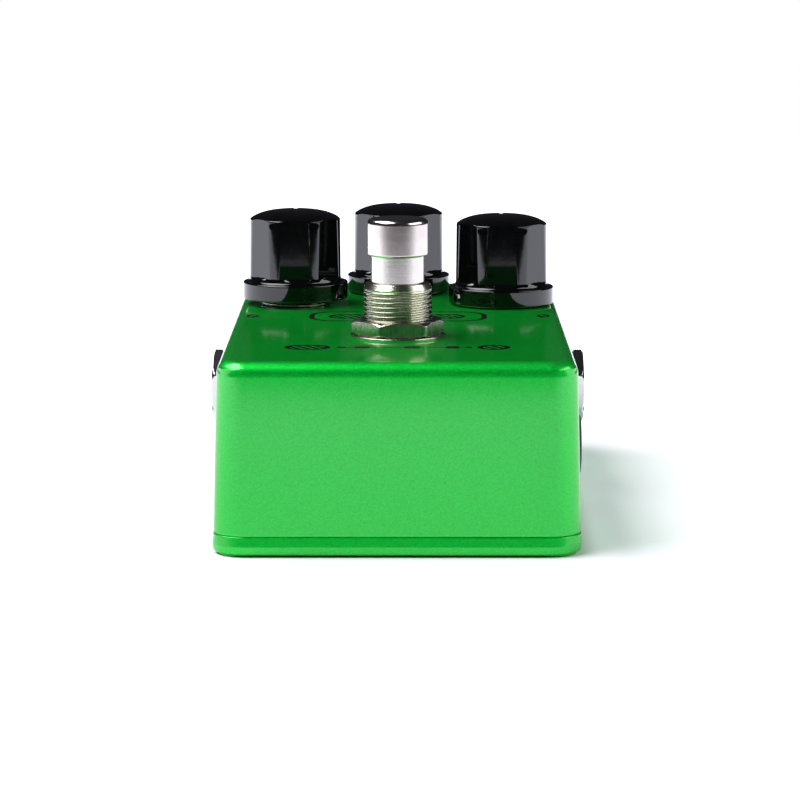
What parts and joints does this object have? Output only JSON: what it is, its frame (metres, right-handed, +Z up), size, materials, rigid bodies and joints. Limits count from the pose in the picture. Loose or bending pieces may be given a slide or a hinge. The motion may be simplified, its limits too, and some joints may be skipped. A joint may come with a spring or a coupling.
{
  "type": "guitar effects pedal",
  "caption": "Compact guitar effects pedal in a green die-cast case, with turning knobs, a sprung footswitch, side signal jacks and a power jack.",
  "frame": {"origin": "centre of the case's outline on the plane that the four corner pads stand on", "axes": "+X to the player's right, +Y from the footswitch end to the knob end, +Z up"},
  "size_m": [0.0666, 0.1108, 0.0523],
  "materials": {
    "green_enamel": "green metallic enamel and clear coat over die-cast aluminium",
    "black_gloss_plastic": "moulded, polished",
    "black_plastic": "moulded, satin",
    "nickel_plate": "satin nickel plate",
    "brass": "turned",
    "zinc_steel": "zinc plated",
    "circuit_board": "solder mask",
    "phenolic": "pressed sheet",
    "clear_lens": "clear moulded lens",
    "battery_jacket": "printed steel jacket",
    "grey_ribbon": "extruded insulation",
    "capacitor_sleeve": "shrink sleeve"
  },
  "bodies": {
    "housing": {"enclosure": "green_enamel", "bottom_cover": "green_enamel", "cover_screw_1": "zinc_steel", "cover_screw_2": "zinc_steel", "cover_screw_3": "zinc_steel", "cover_screw_4": "zinc_steel", "pot_case_left": "phenolic", "pot_bush_left": "nickel_plate", "pot_washer_left": "nickel_plate", "pot_nut_left": "nickel_plate", "pot_case_centre": "phenolic", "pot_bush_centre": "nickel_plate", "pot_washer_centre": "nickel_plate", "pot_nut_centre": "nickel_plate", "pot_case_right": "phenolic", "pot_bush_right": "nickel_plate", "pot_washer_right": "nickel_plate", "pot_nut_right": "nickel_plate", "footswitch_bush": "nickel_plate", "footswitch_washer": "nickel_plate", "footswitch_nut": "nickel_plate", "footswitch_inner_nut": "nickel_plate", "footswitch_case": "black_plastic", "footswitch_terminals": "phenolic", "jack_body_left": "black_plastic", "jack_washer_left": "nickel_plate", "jack_nut_left": "nickel_plate", "jack_body_right": "black_plastic", "jack_washer_right": "nickel_plate", "jack_nut_right": "nickel_plate", "power_jack_body": "black_plastic", "power_jack_pin": "nickel_plate", "led_lens": "clear_lens", "led_bezel": "nickel_plate", "control_board": "circuit_board", "effect_board": "circuit_board", "amplifier_chip": "black_plastic", "filter_capacitor": "capacitor_sleeve", "ribbon_lead": "grey_ribbon", "battery": "battery_jacket", "battery_snap": "black_plastic"},
    "left_knob": {"knob_left": "black_gloss_plastic", "knob_insert_left": "brass", "knob_set_screw_left": "zinc_steel", "pot_shaft_left": "zinc_steel"},
    "centre_knob": {"knob_centre": "black_gloss_plastic", "knob_insert_centre": "brass", "knob_set_screw_centre": "zinc_steel", "pot_shaft_centre": "zinc_steel"},
    "right_knob": {"knob_right": "black_gloss_plastic", "knob_insert_right": "brass", "knob_set_screw_right": "zinc_steel", "pot_shaft_right": "zinc_steel"},
    "footswitch_button": {"footswitch_cap": "nickel_plate", "footswitch_plunger": "nickel_plate"}
  },
  "joints": [
    {"name": "knob_left_turn", "type": "hinge", "parent": "housing", "child": "left_knob", "pos_m": [-0.0189, 0.022, 0.0331], "axis": [0, 0, 1], "range_deg": [-150, 150]},
    {"name": "knob_centre_turn", "type": "hinge", "parent": "housing", "child": "centre_knob", "pos_m": [0, 0.0398, 0.0331], "axis": [0, 0, 1], "range_deg": [-150, 150]},
    {"name": "knob_right_turn", "type": "hinge", "parent": "housing", "child": "right_knob", "pos_m": [0.0189, 0.022, 0.0331], "axis": [0, 0, 1], "range_deg": [-150, 150]},
    {"name": "footswitch_press", "type": "slide", "parent": "housing", "child": "footswitch_button", "axis": [0, 0, -1], "range_m": [0, 0.0025], "stiffness_N_per_m": 2500, "springref_m": -0.003}
  ]
}
